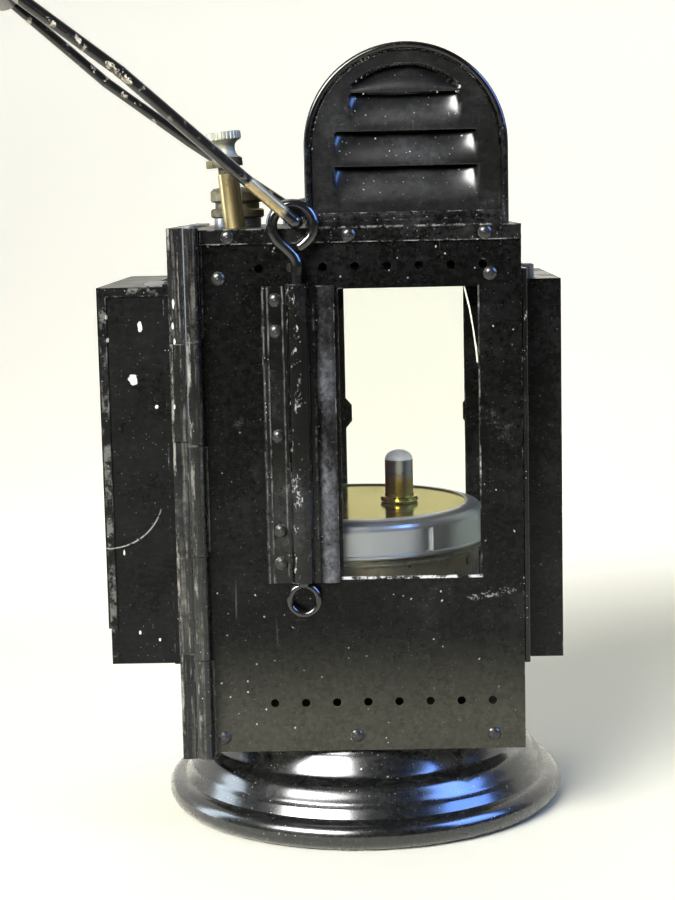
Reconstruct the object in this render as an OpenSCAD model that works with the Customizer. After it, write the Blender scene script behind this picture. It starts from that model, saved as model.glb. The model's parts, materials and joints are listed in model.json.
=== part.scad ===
// Railway hand lantern with an acetylene generator: a square sheet-metal body on a round
// spun foot, an arched vent hood, a hinged front with a slide box, and a wire bail.
// Millimetres. Origin at the centre of the foot's underside, +Z up. The side with the tall
// window faces -Y, the hinged front faces -X.

/* [Body] */
// Width of the body across the windowed face
body_w = 107; // [107:0.5:109]
// Depth of the body between its two windowed faces
body_d = 105; // [105:0.5:107]
// Height of the body's underside above the floor
body_z0 = 29.5; // [29:0.1:30]
// Height of the roof above the floor
body_z1 = 200.5; // [200.3:0.1:201]
// Gauge of the sheet
sheet = 0.8; // [0.7:0.05:0.8]

/* [Foot] */
// Radius of the foot at the middle of its rim bead
foot_r = 64.8; // [64:0.1:66]
// Radius of the rim bead's section
bead_r = 4.7; // [4.5:0.05:4.7]
// Radius of the foot's neck under the body
neck_r = 49; // [48:0.5:50]

/* [Windows and vents] */
// Left edge of the tall window
win_x0 = -5; // [-6:0.5:-4]
// Right edge of the tall window
win_x1 = 39.6; // [38:0.2:40]
// Bottom edge of the tall window
win_z0 = 87.5; // [87:0.5:90]
// Top edge of the tall window
win_z1 = 181; // [178:0.5:182]
// Spacing of the small air holes
vent_pitch = 10.2; // [10:0.1:10.3]
// Diameter of the small air holes
vent_d = 2.8; // [2:0.1:3.2]
// Number of air holes in each row
vent_n = 8; // [6:1:8]

/* [Hood] */
// Middle of the arched hood
hood_x = 17.45; // [17:0.05:18]
// Radius of the hood's arch over its rim
hood_r = 32.25; // [31.5:0.05:32.5]
// Height of the hood's straight sides
hood_side = 25.2; // [24:0.1:26]
// Depth a louvre is pressed inwards
louvre_d = 5; // [3:0.5:6]

/* [Handle] */
// Middle of the two eye rods along the face
rod_x = -17.9; // [-18.1:0.1:-17.7]
// Radius of an eye rod
rod_r = 1.85; // [1.8:0.01:1.87]
// Height of the middle of a rod's eye
eye_z = 201.4; // [201.2:0.1:201.7]
// Radius of the bail's wire
bail_r = 2; // [1.8:0.05:2]
// Diameter of the turned grip
grip_d = 12; // [11:0.5:13]

/* [Hinged front] */
// Radius of the hinge barrel
barrel_r = 2.7; // [2.6:0.05:2.7]
// Depth of the slide box in front of the door
front_depth = 23.3; // [23:0.1:24]
// Half the width of the slide box
front_half = 45; // [44:0.5:46]

/* [Rear box] */
// Depth of the rear slide box
rear_depth = 13.5; // [13.5:0.1:14]
// Half the width of the rear slide box
rear_half = 42; // [41.8:0.1:43]

/* [Water feed] */
// Lean of the water valve towards the front, in degrees
valve_lean = 5.5; // [5:0.1:6]
// Diameter of the filler cap's flanges
cap_d = 18.6; // [18:0.2:19]

/* [Generator] */
// Radius of the generator's lid
lid_r = 45; // [44:0.1:45.5]
// Height of the lid's top above the floor
lid_z = 104.1; // [103.9:0.1:104.3]
// Radius of the burner
burner_r = 4.9; // [4.5:0.1:5]

/* [Hidden] */

japan = [0.07, 0.07, 0.075];
worn = [0.35, 0.34, 0.32];
brass = [0.66, 0.53, 0.28];
nickel = [0.62, 0.62, 0.6];
clear_glass = [0.85, 0.9, 0.88, 0.35];
hw = body_w / 2;
hd = body_d / 2;
// The rods and the bail
ring_r = 6.6;
ring_x = -18.7;
rod_y = -hd - 4.2;
sheath_z0 = 86.9;
sheath_z1 = 183;
sheath_r = 3.7;
strap_t = 1;
run_gap = 0.07;
stop_r = 4.7;
stop_wire = 1.1;
stop_z = 81;
bail_y = rod_y - rod_r - bail_r - 0.4;
pivot_x = -17.9;
near_path = [[pivot_x, 202.8], [-70.7, 250], [-127, 293]];
far_path = [[pivot_x, 201.6], [-61.5, 231.5], [-91.9, 254], [-127, 285]];
// The hinged front
hinge_x = 2.1 - hw;
hinge_y = -hd - barrel_r - 0.1;
pin_r = 1;
knuckle_gap = 0.1;
knuckle_z = [28.6, 61.6, 95.9, 132.1, 165.4, 201.3];
pan_x0 = -hw - 5.7;
pan_x1 = -hw - 0.9;
pan_y0 = -hd - 0.1;
pan_y1 = hd + 1.1;
pan_z0 = 27.3;
pan_z1 = 201.3;
box_x0 = pan_x0 - front_depth;
box_z0 = 58;
box_z1 = 182.5;
slide_t = 1.6;
slide_gap = 0.1;
front_slide_x = pan_x0 - 6.8;
rear_x1 = hw + rear_depth;
rear_slide_x = hw + 4.3;
slide_z0 = 61;
slide_z1 = 181;
// The water feed
valve_x = -40;
valve_y = -14;
cap_x = -40.8;
cap_y = 12;
stem_r = 1.5;
tank_z = 172;
// The generator
gen_x = -1.5;
burner_x = 14;

module slab(x0, x1, y0, y1, z0, z1)
    translate([x0, y0, z0]) cube([x1 - x0, y1 - y0, z1 - z0]);

module along_y(x, y0, y1, z, r)
    translate([x, y1, z]) rotate([90, 0, 0]) cylinder(r = r, h = y1 - y0, $fn = 32);

// A round bar from point a to point b
module bar(a, b, r) {
    v = b - a;
    translate(a) rotate([0, acos(v[2] / norm(v)), atan2(v[1], v[0])]) cylinder(r = r, h = norm(v), $fn = 32);
}

// A wire bent through a list of points
module wire(pts, r) {
    for (i = [1 : len(pts) - 1]) bar(pts[i - 1], pts[i], r);
    for (i = [1 : len(pts) - 2]) translate(pts[i]) sphere(r = r + 0.06, $fn = 32);
}

// A low domed rivet head whose flat face lies at the origin and whose dome points to +Z
module rivet_head(r = 2.2, h = 1.1)
    rotate_extrude($fn = 24)
        polygon(concat([[0, 0]], [for (a = [0 : 22.5 : 90]) [r * cos(a), h * sin(a)]]));

module near_rivet(x, z, proud = 0) translate([x, -hd - proud, z]) rotate([90, 0, 0]) rivet_head();

// Both the -Y side and its mirror on the +Y side
module both_sides() {
    children();
    mirror([0, 1, 0]) children();
}

// ---- foot ----
// Outline of the spun foot: a cone under the neck, a narrow shelf, a rounded shoulder, a short
// upright part and a second cone down to the crease above the bead; each point is how far it
// lies outside the neck and below the body
foot_steps = [[0.4, 1], [0.9, 2.2], [1.6, 3.9], [4.3, 8.9], [5.6, 9.9], [7.4, 10.3], [9.2, 10.6],
    [10.2, 11.3], [11.9, 13.9], [12.9, 15.3], [13.4, 16.5], [13.7, 17.4], [14.9, 19.6]];
function foot_flare() = [for (p = foot_steps) [neck_r + p[0], body_z0 - p[1]]];
function foot_bead() = [for (a = [85 : -17.5 : -90]) [foot_r + bead_r * cos(a), bead_r + bead_r * sin(a)]];

module foot() color(japan)
    rotate_extrude($fn = 96) difference() {
        polygon(concat([[neck_r - 6, body_z0], [neck_r, body_z0]], foot_flare(), foot_bead(),
            [[foot_r - bead_r, 0], [foot_r - bead_r, bead_r]]));
        polygon(concat([[neck_r - 7, body_z0 - 1]], [for (p = foot_flare()) p - [1, 1]],
            [for (a = [70 : -20 : -70])
                [foot_r + (bead_r - 1) * cos(a), bead_r + (bead_r - 1) * sin(a)]],
            [[foot_r - bead_r + 1, 1], [foot_r - bead_r + 1, bead_r - 1],
             [foot_r - bead_r - 1, bead_r - 1], [neck_r - 7, bead_r - 1]]));
    }

module foot_plate() color(worn) cylinder(r = foot_r - bead_r, h = sheet, $fn = 96);

// ---- body ----
module vent_row(x0, z)
    for (i = [0 : vent_n - 1]) along_y(x0 + vent_pitch * i, -hd - 5, hd + 5, z, vent_d / 2);

module body_shell() color(japan)
    difference() {
        slab(-hw, hw, -hd, hd, body_z0, body_z1);
        slab(sheet - hw, hw - sheet, sheet - hd, hd - sheet, body_z0 - 1, body_z1 + 1);
        slab(win_x0, win_x1, -hd - 1, hd + 1, win_z0, win_z1);
        slab(-hw - 1, sheet - hw + 1, -42.5, 42.5, 38, 190);
        slab(hw - sheet - 1, hw + 1, -30, 30, 80, 170);
        vent_row(-30, 188);
        vent_row(-28.5, 45.7);
    }

module bottom_plate() color(worn)
    difference() {
        slab(sheet - hw, hw - sheet, sheet - hd, hd - sheet, body_z0, body_z0 + sheet);
        for (x = [-44, 44], y = [-42, 42]) translate([x, y, body_z0 - 1]) cylinder(r = 2.5, h = 4, $fn = 32);
    }

module roof_plate() color(japan)
    difference() {
        slab(sheet - hw, hw - sheet, sheet - hd, hd - sheet, body_z1 - sheet, body_z1);
        slab(hood_x - 27, hood_x + 27, -44, 44, body_z1 - 5, body_z1 + 5);
        translate([cap_x, cap_y, body_z1 - 5]) cylinder(r = 5.5, h = 10, $fn = 32);
        translate([valve_x, valve_y, body_z1 - 5]) cylinder(r = 2.9, h = 10, $fn = 32);
    }

module strap() color(japan)
    slab(-48.5, hw, -hd - sheet, -hd, body_z1 - 4.8, body_z1);
module strap_near() strap();
module strap_far() mirror([0, 1, 0]) strap();

module rivets() color(japan)
    both_sides() {
        for (x = [-39.6, -1.2, 42]) near_rivet(x, 198.1, sheet);
        for (x = [-43, 43.6]) near_rivet(x, 185);
        for (x = [-45.5, -1.7, 43.2]) near_rivet(x, 34.4);
        for (z = [92.7, 103.3, 134.1, 167.9, 177.9]) near_rivet(rod_x - 7.1, z, strap_t);
    }

// ---- hood ----
// Face-on outline of the arch at a given radius
module arch(r)
    intersection() {
        union() {
            translate([0, hood_side]) circle(r = r, $fn = 96);
            translate([-r, 0]) square([2 * r, hood_side]);
        }
        translate([-r, 0]) square([2 * r, hood_side + r]);
    }
// Stands a face-on outline upright, from y0 towards +Y
module upright(y0, t)
    translate([hood_x, y0 + t, body_z1]) rotate([90, 0, 0]) linear_extrude(height = t) children();

vault_r = hood_r - 1.1;
vault_y = hd - 1.3;
module hood_vault() color(japan)
    upright(-vault_y, 2 * vault_y) difference() {
        arch(vault_r);
        arch(vault_r - sheet);
        translate([sheet - vault_r, -1]) square([2 * (vault_r - sheet), 2]);
    }

// Rolled bead round each end of the vault
module hood_rim() {
    translate([hood_x, 0.1 - hd, body_z1 + hood_side]) rotate([90, 0, 0])
        rotate_extrude(angle = 180, $fn = 96) translate([vault_r, 0]) circle(r = 1.1, $fn = 20);
    for (s = [-1, 1]) translate([hood_x + s * vault_r, 0.1 - hd, body_z1])
        cylinder(r = 1.1, h = hood_side, $fn = 32);
}
module hood_rims() color(japan) both_sides() hood_rim();

// Louvres, top first: middle height of the slit, bottom of the pressed part, half width
louvres = [[241.8, 231.6, 17.3], [229.8, 220, 22.3], [218.8, 207.5, 22.6]];
plate_r = vault_r - sheet - 0.1;
// One pressed louvre: a sloping lip between two gusset ends, deepest at its top
module louvre(z1, z0, half) {
    for (side = [[-half, 0.8], [half - 0.8, 0.8]])
        translate([hood_x + side[0], 0, 0]) rotate([90, 0, 90]) linear_extrude(height = side[1])
            polygon([[1 - hd, z0], [1.8 - hd, z0], [louvre_d + 1.8 - hd, z1], [1 - hd, z1]]);
    translate([hood_x - half + 0.4, 0, 0]) rotate([90, 0, 90])
        linear_extrude(height = 2 * half - 0.8)
            polygon([[1 - hd, z0], [1.8 - hd, z0], [louvre_d + 1.8 - hd, z1], [louvre_d + 1 - hd, z1]]);
}
arch_lip_z = 244.2;
module louvre_plate() color(japan) {
    difference() {
        upright(1 - hd, sheet) arch(plate_r);
        for (l = louvres) slab(hood_x - l[2] + 0.4, hood_x + l[2] - 0.4, -hd, 4 - hd, l[1] + 0.4, l[0]);
        intersection() {
            slab(hood_x - 17, hood_x + 17, -hd, 4 - hd, arch_lip_z, 260);
            upright(-hd, 4) translate([0, hood_side]) circle(r = 25.2, $fn = 64);
        }
    }
    for (l = louvres) louvre(l[0], l[1], l[2]);
    intersection() {
        upright(-hd, 12) translate([0, hood_side]) circle(r = 25.6, $fn = 64);
        louvre(252, arch_lip_z - 0.4, 17.4);
    }
}
module louvre_near() louvre_plate();
module louvre_far() mirror([0, 1, 0]) louvre_plate();

// Coved skirt that joins the hood's end plates to the roof edge
module hood_apron() color(japan)
    both_sides() difference() {
        slab(hood_x - vault_r + 1.2, hood_x + vault_r - 1.2, -hd - sheet, 1 - hd, body_z1, body_z1 + 4.5);
        translate([hood_x - 50, -hd - 4.6, body_z1 + 5.3]) rotate([0, 90, 0])
            cylinder(r = 5, h = 100, $fn = 48);
    }

// ---- windows ----
pane_t = 2;
module pane() color(clear_glass)
    slab(win_x0 - 3, win_x1 + 3, sheet - hd, sheet - hd + pane_t, win_z0 - 3, win_z1 + 3);
module pane_near() pane();
module pane_far() mirror([0, 1, 0]) pane();

// Bent sheet tab that holds a pane at its edge; dir is +1 or -1 along X, reach is how far it
// stands into the window
module pane_tab(x, dir, reach) {
    y0 = sheet - hd;
    translate([x, 0, tab_z]) scale([dir, 1, 1]) {
        slab(-4.2, -3.1, y0, y0 + pane_t + 0.6, -5.5, 5.5);
        translate([0, y0 + pane_t + 0.6, 0]) rotate([90, 0, 0]) linear_extrude(height = 0.6)
            polygon([[-4.2, -5.5], [reach - 2.1, -5.5], [reach, -3], [reach, 3], [reach - 2.1, 5.5],
                [-4.2, 5.5]]);
    }
}
tab_z = 129.5;
module pane_tabs() color(japan) {
    pane_tab(win_x0, 1, -0.4);
    pane_tab(win_x1, -1, -0.4);
    mirror([0, 1, 0]) {
        pane_tab(win_x0, 1, 2.3);
        pane_tab(win_x1, -1, 0.8);
    }
}

// ---- rod sheaths ----
// Riveted strap with a hem on its left edge, a tube rolled along its middle and a rounded
// flange beside the window
strap_x0 = rod_x - 11.6;
strap_x1 = rod_x + 11.7;
pad_r = 4.5;
module sheath() color(japan)
    difference() {
        union() {
            slab(strap_x0, strap_x1, -hd - strap_t, -hd, sheath_z0 - 0.9, sheath_z1 - 0.8);
            slab(strap_x0, strap_x0 + 2.2, -hd - strap_t - 0.5, -hd, sheath_z0 - 0.9, sheath_z1 - 0.8);
            slab(rod_x - 4.8, rod_x + 5, -hd - strap_t - 0.45, -hd, sheath_z0 - 0.9, sheath_z1 - 0.8);
            intersection() {
                slab(rod_x + 5, strap_x1, -hd - 3, -hd, sheath_z0 - 0.9, sheath_z1 - 0.8);
                translate([strap_x1 - 3.2, pad_r - hd - strap_t - 1.1, sheath_z0 - 1])
                    cylinder(r = pad_r, h = sheath_z1 - sheath_z0 + 1, $fn = 48);
            }
            translate([rod_x, rod_y, sheath_z0]) cylinder(r = sheath_r, h = sheath_z1 - sheath_z0, $fn = 48);
        }
        translate([rod_x, rod_y, sheath_z0 - 2])
            cylinder(r = rod_r + run_gap, h = sheath_z1 - sheath_z0 + 4, $fn = 48);
    }
module sheath_near() sheath();
module sheath_far() mirror([0, 1, 0]) sheath();

// ---- eye rods ----
// The eye is an open loop: an arc, a short free end and a double bend down to the shank
loop_arc = [for (a = [-36 : 20 : 204]) [ring_r * cos(a), ring_r * sin(a)]];
free_end = [[1.9, -6.8], [3.5, -5.7]];
shank_bend = [[-4.7, -4.8], [-2.2, -7.2], [0.2, -9.8], [1.1, -12.4], [rod_x - ring_x, -15.5]];
module eye_rod() color(japan) {
    path = concat(free_end, loop_arc, shank_bend, [[rod_x - ring_x, stop_z + stop_r - eye_z]]);
    wire([for (p = path) [ring_x + p[0], rod_y, eye_z + p[1]]], rod_r);
    translate([rod_x, rod_y, stop_z]) rotate([90, 0, 0])
        rotate_extrude($fn = 48) translate([stop_r, 0]) circle(r = stop_wire, $fn = 24);
}
module rod_near() eye_rod();
module rod_far() mirror([0, 1, 0]) eye_rod();

// ---- bail ----
function side_points(path, y) = [for (p = path) [p[0], y, p[1]]];
inner_y = -hd - 1.15;
// Hammered end that keeps the wire in its eye
module bail_end(z)
    translate([pivot_x, inner_y, z]) rotate([90, 0, 0]) linear_extrude(height = 0.9) rotate([0, 0, 48]) {
        circle(r = 2.6, $fn = 32);
        translate([0, -2.6]) square([3.6, 5.2]);
        translate([3.6, 0]) circle(r = 2.6, $fn = 32);
    }
module bail_wire() color(worn) {
    near = side_points(near_path, bail_y);
    far = side_points(far_path, -bail_y);
    pts = concat([[pivot_x, inner_y, near_path[0][1]]], near,
        [for (i = [len(far) - 1 : -1 : 0]) far[i]], [[pivot_x, -inner_y, far_path[0][1]]]);
    wire(pts, bail_r);
    bail_end(near_path[0][1]);
    mirror([0, 1, 0]) bail_end(far_path[0][1]);
}

grip_len = 104;
module grip() color([0.16, 0.11, 0.08]) {
    a = [near_path[2][0], bail_y, near_path[2][1]];
    b = [far_path[3][0], -bail_y, far_path[3][1]];
    v = b - a;
    translate((a + b) / 2) rotate([0, acos(v[2] / norm(v)), atan2(v[1], v[0])])
        rotate_extrude($fn = 48) polygon(concat(
            [[bail_r + 0.02, -grip_len / 2], [grip_d / 2 - 2.4, -grip_len / 2]],
            [for (a = [-75 : 15 : 0]) [grip_d / 2 - 2.4 + 2.4 * cos(a), 5 - grip_len / 2 + 5 * sin(a)]],
            [[grip_d / 2, 5 - grip_len / 2], [grip_d / 2 + 0.5, 0], [grip_d / 2, grip_len / 2 - 5]],
            [for (a = [0 : 15 : 75]) [grip_d / 2 - 2.4 + 2.4 * cos(a), grip_len / 2 - 5 + 5 * sin(a)]],
            [[grip_d / 2 - 2.4, grip_len / 2], [bail_r + 0.02, grip_len / 2]]));
}

// ---- hinge ----
module knuckle(i)
    difference() {
        translate([hinge_x, hinge_y, knuckle_z[i] + knuckle_gap])
            cylinder(r = barrel_r, h = knuckle_z[i + 1] - knuckle_z[i] - 2 * knuckle_gap, $fn = 48);
        translate([hinge_x, hinge_y, knuckle_z[i] - 1])
            cylinder(r = pin_r + 0.05, h = knuckle_z[i + 1] - knuckle_z[i] + 2, $fn = 48);
    }
module hinge_body() color(japan)
    for (i = [0, 2, 4]) {
        knuckle(i);
        difference() {
            slab(hinge_x, hinge_x + 3.4, -hd - sheet, -hd,
                knuckle_z[i] + 1, knuckle_z[i + 1] - (i == 4 ? 6 : 1));
            translate([hinge_x, hinge_y, 0]) cylinder(r = barrel_r - 0.5, h = 300, $fn = 48);
        }
    }
module hinge_pin() color(worn)
    translate([hinge_x, hinge_y, 0]) {
        translate([0, 0, knuckle_z[0]]) cylinder(r = pin_r, h = knuckle_z[5] - knuckle_z[0], $fn = 48);
        translate([0, 0, knuckle_z[5]]) cylinder(r = 1.9, h = 0.8, $fn = 48);
        translate([0, 0, knuckle_z[0] - 0.8]) cylinder(r = 1.9, h = 0.8, $fn = 48);
    }

// ---- door ----
module door_pan() color(japan)
    difference() {
        slab(pan_x0, pan_x1, pan_y0, pan_y1, pan_z0, pan_z1);
        slab(pan_x0 + sheet, pan_x1 + 1, pan_y0 + sheet, pan_y1 - sheet, pan_z0 + sheet, pan_z1 - sheet);
        slab(pan_x0 - 1, pan_x0 + 2, -36, 36, 66, 174);
    }
module door_leaves() color(japan) {
    for (i = [1, 3]) {
        knuckle(i);
        difference() {
            slab(pan_x0, hinge_x, pan_y0 - sheet, pan_y0, knuckle_z[i] + 1, knuckle_z[i + 1] - 1);
            translate([hinge_x, hinge_y, 0]) cylinder(r = barrel_r - 0.5, h = 300, $fn = 48);
        }
    }
    slab(pan_x0 + 1, hinge_x + 7.5, pan_y1, pan_y1 + sheet, 108, 120);
}

module front_box() color(japan)
    difference() {
        slab(box_x0, pan_x0, -front_half, front_half, box_z0, box_z1);
        slab(box_x0 + sheet, pan_x0 + 1, sheet - front_half, front_half - sheet,
            box_z0 + sheet, box_z1 - sheet);
        slab(box_x0 - 1, box_x0 + 2, -32, 32, 76, 166);
        slab(front_slide_x - 1.3, front_slide_x + 1.3, -front_slide_half - 0.3, front_slide_half + 0.3,
            box_z1 - 2, box_z1 + 1);
    }
module front_bezel() color(japan)
    difference() {
        slab(box_x0 - sheet, box_x0, -front_half, front_half, box_z0 + 12, box_z1);
        slab(box_x0 - 2, box_x0 + 1, -29, 29, 79, 163);
    }
module front_seams() color(japan)
    both_sides() {
        slab(pan_x0 - 2.4, pan_x0, -front_half - 1.4, -front_half, box_z0, box_z1 + 0.9);
        slab(box_x0, pan_x0 - 2.4, -front_half - 0.6, -front_half, box_z1 - 3, box_z1);
        slab(box_x0, box_x0 + 2.2, -front_half - 0.6, -front_half, box_z0 + 12, box_z1 - 3);
    }

// Two grooved channels that guide a slide; x is the slide's middle plane, half the box's inside
module guides(x, half, z0, z1)
    both_sides() difference() {
        slab(x - 1.8, x + 1.8, -half, 3 - half, z0, z1);
        slab(x - slide_t / 2 - slide_gap, x + slide_t / 2 + slide_gap, 0.7 - half, 4 - half, z0 + 2, z1 + 1);
    }
module front_guides() color(worn)
    guides(front_slide_x, front_half - sheet, box_z0 + sheet, box_z1 - sheet);
module front_glass() color(clear_glass)
    slab(box_x0 + sheet, box_x0 + sheet + pane_t, -36, 36, 70, 171);

// Slide plate with its window; x is its middle plane
module slide_plate(x, half)
    difference() {
        slab(x - slide_t / 2, x + slide_t / 2, -half, half, slide_z0, slide_z1);
        slab(x - 2, x + 2, 7 - half, half - 7, slide_z0 + 8, slide_z1 - 9);
    }
module slide_filter(x, half)
    slab(x - 0.6, x + 0.6, 7 - half, half - 7, slide_z0 + 8, slide_z1 - 9);
front_slide_half = front_half - sheet - 1;
module front_slide() color(worn) {
    slide_plate(front_slide_x, front_slide_half);
    slab(front_slide_x - slide_t / 2, front_slide_x + slide_t / 2, -39, -27, slide_z1, box_z1 + 0.1);
    slab(front_slide_x - 2.2, front_slide_x + 4.2, -39, -27, box_z1 + 0.1, box_z1 + 1.1);
}
module front_filter() color([0.6, 0.05, 0.04, 0.6]) slide_filter(front_slide_x, front_slide_half);

module door_pull() color(brass)
    translate([pan_x0, front_half + 4.6, 115]) rotate([0, -90, 0]) rotate_extrude($fn = 32)
        polygon(concat([[0, 0], [2.6, 0], [2.6, 0.8], [1.4, 1.4], [1.4, 4]],
            [for (a = [-45 : 22.5 : 90]) [2.9 * cos(a), 6 + 2.9 * sin(a)]]));

// ---- rear box ----
module rear_box() color(japan)
    difference() {
        slab(hw + sheet, rear_x1, -rear_half, rear_half, box_z0 - 0.5, box_z1);
        slab(hw, rear_x1 - sheet, sheet - rear_half, rear_half - sheet, box_z0 - 0.5 + sheet, box_z1 - sheet);
        slab(rear_x1 - 2, rear_x1 + 1, -27, 27, 84, 160);
        slab(rear_slide_x - 1.3, rear_slide_x + 1.3, -rear_slide_half - 0.3, rear_slide_half + 0.3,
            box_z1 - 2, box_z1 + 1);
    }
module rear_flange() color(japan)
    difference() {
        union() {
            slab(hw, hw + sheet, -hd + 1, hd - 1, box_z0, 186.3);
            both_sides() translate([hw + sheet, -hd + 1.9, box_z0])
                cylinder(r = 1.2, h = 186.3 - box_z0, $fn = 32);
        }
        slab(hw - 2, hw, -hd, hd, box_z0 - 1, 190);
        slab(hw - 1, hw + 2, -30, 30, 80, 170);
    }
module rear_guides() color(worn)
    guides(rear_slide_x, rear_half - sheet, box_z0 - 0.5 + sheet, box_z1 - sheet);
module rear_glass() color(clear_glass)
    slab(rear_x1 - sheet - pane_t, rear_x1 - sheet, -31, 31, 78, 168);
rear_slide_half = rear_half - sheet - 1;
module rear_slide() color(brass) {
    slide_plate(rear_slide_x, rear_slide_half);
    slab(rear_slide_x - slide_t / 2, rear_slide_x + slide_t / 2, -38, -26, slide_z1, 187);
    slab(rear_slide_x - 2.6, rear_slide_x - slide_t / 2, -38, -26, 186, 187);
}
module rear_filter() color([0.85, 0.9, 0.88, 0.55]) slide_filter(rear_slide_x, rear_slide_half);

// ---- water feed ----
module filler_neck() color(brass)
    translate([cap_x, cap_y, body_z1]) difference() {
        union() {
            cylinder(r = 6.2, h = 10, $fn = 48);
            translate([0, 0, -4]) cylinder(r = 5.45, h = 4, $fn = 48);
        }
        translate([0, 0, -5]) cylinder(r = 4.6, h = 20, $fn = 48);
    }
module filler_washer() color(nickel)
    translate([cap_x, cap_y, body_z1]) difference() {
        cylinder(r = cap_d / 2 - 1.1, h = 2.9, $fn = 48);
        translate([0, 0, -1]) cylinder(r = 6.25, h = 6, $fn = 48);
    }
module knurl(r, n, z0, z1)
    for (i = [0 : n - 1]) rotate([0, 0, 360 * i / n]) translate([r, 0, z0])
        cylinder(r = 0.45, h = z1 - z0, $fn = 16);
module filler_cap() color(brass)
    translate([cap_x, cap_y, body_z1]) difference() {
        rotate_extrude($fn = 64) polygon([[0, 3], [cap_d / 2 - 0.5, 3], [cap_d / 2, 3.5], [cap_d / 2, 5.6],
            [cap_d / 2 - 0.5, 6.1], [cap_d / 2 - 1.6, 6.3], [cap_d / 2 - 1.6, 8.2], [cap_d / 2 - 0.4, 8.5],
            [cap_d / 2, 9], [cap_d / 2, 12], [cap_d / 2 - 1, 13.1], [cap_d / 2 - 3.5, 13.6], [0, 13.7]]);
        translate([0, 0, 2]) cylinder(r = 6.27, h = 8.6, $fn = 48);
    }
module water_tank() color(nickel)
    difference() {
        slab(-52.2, -22, -46, 46, tank_z, body_z1 - sheet);
        slab(-51.6, -22.6, -45.4, 45.4, tank_z + 0.6, body_z1);
        on_valve_axis() translate([0, 0, -40]) cylinder(r = 2.3, h = 30, $fn = 32);
    }

// Places children on the leaning axis of the water valve, 0 at the roof
module on_valve_axis() translate([valve_x, valve_y, body_z1]) rotate([0, -valve_lean, 0]) children();

module valve_tube() color(brass)
    difference() {
        on_valve_axis() translate([0, 0, -2]) cylinder(r = 3.55, h = 20, $fn = 48);
        slab(-60, -20, -30, 0, body_z1 - 10, body_z1);
        on_valve_axis() translate([0, 0, -4]) cylinder(r = stem_r + run_gap, h = 30, $fn = 48);
    }
// Gland nut with a pointer lug towards the front
module valve_collar() color(brass)
    on_valve_axis() difference() {
        union() {
            translate([0, 0, 18]) cylinder(r = 3.2, h = 2.4, $fn = 48);
            translate([0, 0, 20.4]) cylinder(r = 5.3, h = 2.6, $fn = 48);
            translate([-6.9, -1.9, 20.4]) cube([6, 3.8, 2.6]);
        }
        translate([0, 0, 17]) cylinder(r = stem_r + run_gap, h = 8, $fn = 48);
    }
module valve_stem() color(nickel)
    on_valve_axis() {
        translate([0, 0, -26]) cylinder(r = stem_r, h = 50, $fn = 48);
        translate([0, 0, -28]) cylinder(r1 = 0.5, r2 = stem_r, h = 2, $fn = 48);
    }
module valve_knob() color(brass)
    on_valve_axis() difference() {
        rotate_extrude($fn = 64) polygon(concat([[stem_r + 0.02, 23.1], [4.6, 23.1]],
            [for (a = [0 : 15 : 90]) [5.2 - 1.9 * sin(a) , 23.3 + 2.9 * (1 - cos(a))]],
            [for (a = [15 : 15 : 75]) [5.3 - 2 * cos(a), 26.3 + 2.6 * sin(a)]],
            [[5.6, 29.3], [5.85, 29.6], [5.85, 31.7], [5.5, 32.1], [0, 32.1], [0, 24], [stem_r + 0.02, 24]]));
        knurl(6.1, 28, 29.2, 32.3);
    }
module drip_tube() color(brass)
    on_valve_axis() difference() {
        translate([0, 0, -93]) cylinder(r = 2.2, h = 64.6, $fn = 32);
        translate([0, 0, -95]) cylinder(r = 1.4, h = 80, $fn = 32);
    }

// ---- generator ----
module at_gen() translate([gen_x, 0, 0]) children();
pot_r = lid_r - 2.1;
ring_z = body_z0 + 59.3;
skirt_z = ring_z + 2.3;
disc_r = lid_r - 6.2;
module generator_pot() color(brass)
    at_gen() difference() {
        translate([0, 0, body_z0 + sheet]) cylinder(r = pot_r, h = ring_z - body_z0 - sheet, $fn = 96);
        translate([0, 0, body_z0 + sheet + 1]) cylinder(r = pot_r - 1, h = 60, $fn = 96);
    }
module generator_ring() color(worn)
    at_gen() translate([0, 0, ring_z]) rotate_extrude($fn = 96)
        polygon([[pot_r - 6, 0], [pot_r + 1, 0], [pot_r + 1, 0.7], [pot_r + 0.4, 1], [pot_r + 0.4, 1.5],
            [pot_r + 1, 1.8], [pot_r + 1, 2.3], [pot_r - 6, 2.3]]);
module generator_lid() color(nickel)
    at_gen() difference() {
        rotate_extrude($fn = 96) polygon(concat(
            [[lid_r - 1.8, skirt_z], [lid_r - 0.2, skirt_z], [lid_r, skirt_z + 0.4], [lid_r, skirt_z + 1.1],
             [lid_r - 0.3, skirt_z + 1.5]],
            [for (a = [0 : 15 : 90]) [disc_r + 0.6 + 5.3 * cos(a), lid_z - 3.6 + 3.6 * sin(a)]],
            [[disc_r + 0.02, lid_z], [disc_r + 0.02, lid_z - 1.9]],
            [for (a = [75 : -15 : 0]) [disc_r - 0.4 + 4.7 * cos(a), lid_z - 5.2 + 3.4 * sin(a)]]));
        rotate([0, 0, -56.3]) translate([lid_r + 0.9, 0, skirt_z + 1.6])
            cylinder(r = 2.1, h = lid_z - skirt_z - 5.2, $fn = 32);
    }
module lid_disc() color(brass)
    at_gen() difference() {
        translate([0, 0, lid_z - 1.7]) cylinder(r = disc_r, h = 1.2, $fn = 96);
        translate([burner_x - gen_x, 0, lid_z - 3]) cylinder(r = 2.4, h = 6, $fn = 32);
        translate([cup_x, valve_y, lid_z - 3]) cylinder(r = 2.4, h = 6, $fn = 32);
    }
lid_top = lid_z - 0.5;
cup_x = -29.5;
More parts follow.
